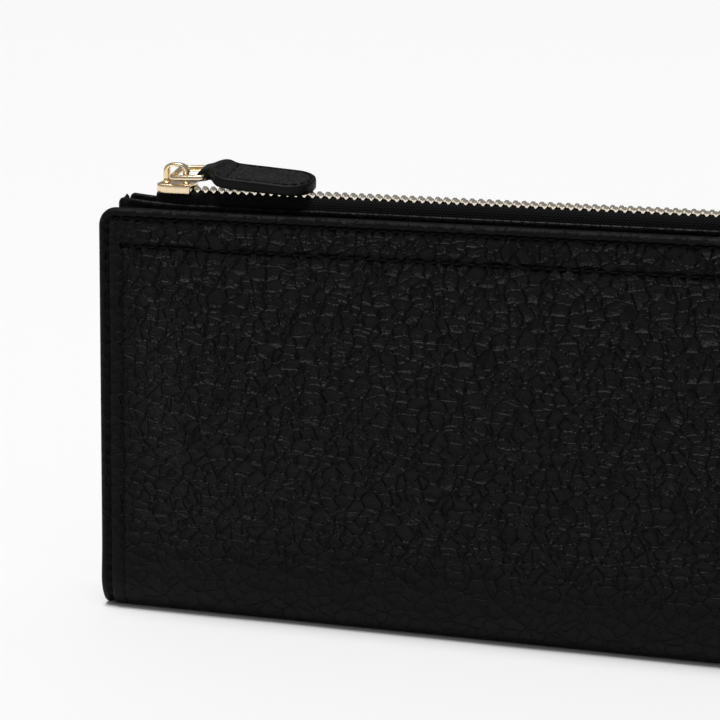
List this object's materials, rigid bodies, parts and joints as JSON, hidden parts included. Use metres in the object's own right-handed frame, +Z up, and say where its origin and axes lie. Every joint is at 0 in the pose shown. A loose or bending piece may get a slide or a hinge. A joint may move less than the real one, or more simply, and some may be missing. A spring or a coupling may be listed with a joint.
{
  "type": "long bifold zip wallet",
  "caption": "Long black leather bifold wallet with card slots and a zip pocket; a gold metal zip runs along its top with a leather puller.",
  "frame": {"origin": "on the resting plane, under the middle of the wallet's box", "axes": "+X along the wallet to the right seen from the front, -Y out of the front cover, +Z up"},
  "size_m": [0.195, 0.02, 0.1103],
  "materials": {
    "leather": "pebbled black leather, semi-matt",
    "lining_leather": "fine smooth black leather",
    "cloth": "black twill",
    "board": "greyboard, matt",
    "foam": "thin foam",
    "gold": "polished pale gold plating"
  },
  "bodies": {
    "spine": {"spine_leather": "leather", "spine_stiffener": "board", "spine_lining": "lining_leather"},
    "front": {"front_cover_leather": "leather", "front_foam": "foam", "front_board": "board", "front_lining": "lining_leather", "card_slot_left_1": "lining_leather", "card_slot_left_2": "lining_leather", "card_slot_left_3": "lining_leather", "card_slot_right_1": "lining_leather", "card_slot_right_2": "lining_leather", "card_slot_right_3": "lining_leather"},
    "back": {"back_cover_leather": "leather", "back_board": "board", "back_foam": "foam", "pocket_front_lining": "cloth", "pocket_back_lining": "cloth", "pocket_front_wall": "lining_leather", "bill_pocket": "lining_leather", "pocket_floor": "cloth", "gusset_left": "lining_leather", "gusset_right": "lining_leather", "zip_strip_front": "leather", "zip_strip_back": "leather", "bottom_stop": "gold"},
    "mouth_front": {"zip_tape_front": "cloth", "zip_teeth_front": "gold", "top_stop_front": "gold"},
    "mouth_back": {"zip_tape_back": "cloth", "zip_teeth_back": "gold", "top_stop_back": "gold"},
    "slider": {"slider_body": "gold", "slider_crown": "gold"},
    "ring": {"puller_ring": "gold"},
    "puller": {"puller_leather": "leather"}
  },
  "joints": [
    {"name": "front_fold", "type": "hinge", "parent": "spine", "child": "front", "pos_m": [0, -0.0074, 0.0028], "axis": [1, 0, 0], "range_deg": [0, 90]},
    {"name": "back_fold", "type": "hinge", "parent": "spine", "child": "back", "pos_m": [0, 0.0074, 0.0028], "axis": [-1, 0, 0], "range_deg": [0, 90]},
    {"name": "zip_slide", "type": "slide", "parent": "back", "child": "slider", "axis": [1, 0, 0], "range_m": [0, 0.156]},
    {"name": "mouth_front_open", "type": "hinge", "parent": "back", "child": "mouth_front", "pos_m": [0.0822, 0.0032, 0.1036], "axis": [0, 0, 1], "range_deg": [0, 0.85], "deforming": ["zip_tape_front", "zip_teeth_front"]},
    {"name": "mouth_back_open", "type": "hinge", "parent": "back", "child": "mouth_back", "pos_m": [0.0822, 0.0032, 0.1036], "axis": [0, 0, -1], "range_deg": [0, 0.85], "deforming": ["zip_tape_back", "zip_teeth_back"]},
    {"name": "ring_swing", "type": "hinge", "parent": "slider", "child": "ring", "pos_m": [-0.0807, 0.0032, 0.1076], "axis": [0, -1, 0], "range_deg": [0, 150]},
    {"name": "puller_swing", "type": "hinge", "parent": "ring", "child": "puller", "pos_m": [-0.07296, 0.0032, 0.10787], "axis": [0, -0.9848, -0.1736], "range_deg": [0, 45]}
  ],
  "couplings": [
    {"joint": "mouth_front_open", "follows": "zip_slide", "rad_per_m": 0.094},
    {"joint": "mouth_back_open", "follows": "zip_slide", "rad_per_m": 0.094}
  ]
}
